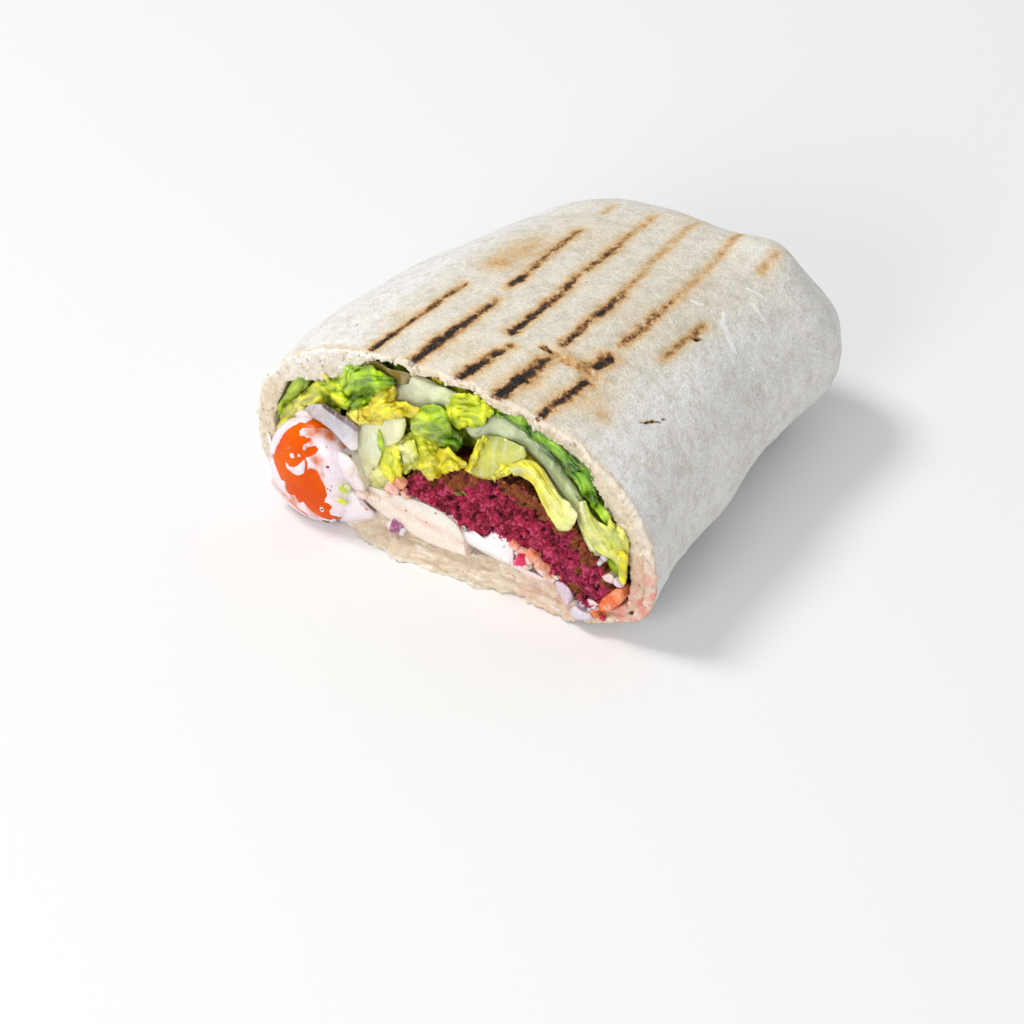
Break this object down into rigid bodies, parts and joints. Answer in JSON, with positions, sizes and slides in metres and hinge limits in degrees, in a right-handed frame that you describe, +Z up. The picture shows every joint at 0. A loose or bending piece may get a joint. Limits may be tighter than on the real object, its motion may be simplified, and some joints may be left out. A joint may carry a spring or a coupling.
{
  "type": "falafel wrap half",
  "caption": "Cut half of a grilled flatbread wrap rolled round beetroot falafel, lettuce, tomato, onion, a pale vegetable slab and garlic sauce.",
  "frame": {"origin": "on the surface it rests on, under the middle of its bounding box", "axes": "+X across the cut to its right as the cut is faced, +Y from the cut towards the tucked end, +Z up from the seam side it rests on"},
  "size_m": [0.0986, 0.0962, 0.0485],
  "materials": {
    "flatbread": "matte floury baked flatbread, off-white, with browned and charred grill marks",
    "beetroot_falafel": "coarse moist magenta crumb with a browned fried crust",
    "lettuce": "crisp satin leaf, green to yellow with pale ribs",
    "tomato": "wet glossy orange flesh partly coated in pink-white sauce",
    "red_onion": "wet translucent pale onion with a purple edge",
    "pale_vegetable": "smooth wet cream-white cut face",
    "garlic_sauce": "thick glossy white yoghurt sauce, faintly pink",
    "chopped_vegetables": "small wet dice of tomato, pickle and onion"
  },
  "bodies": {
    "root": {"flatbread": "flatbread", "falafel": "beetroot_falafel", "lettuce": "lettuce", "cherry_tomato": "tomato", "tomato_piece": "tomato", "onion_slice": "red_onion", "onion_piece_left": "red_onion", "onion_piece_right": "red_onion", "pale_slab": "pale_vegetable", "sauce_pool": "garlic_sauce", "chopped_vegetables": "chopped_vegetables"}
  },
  "joints": []
}
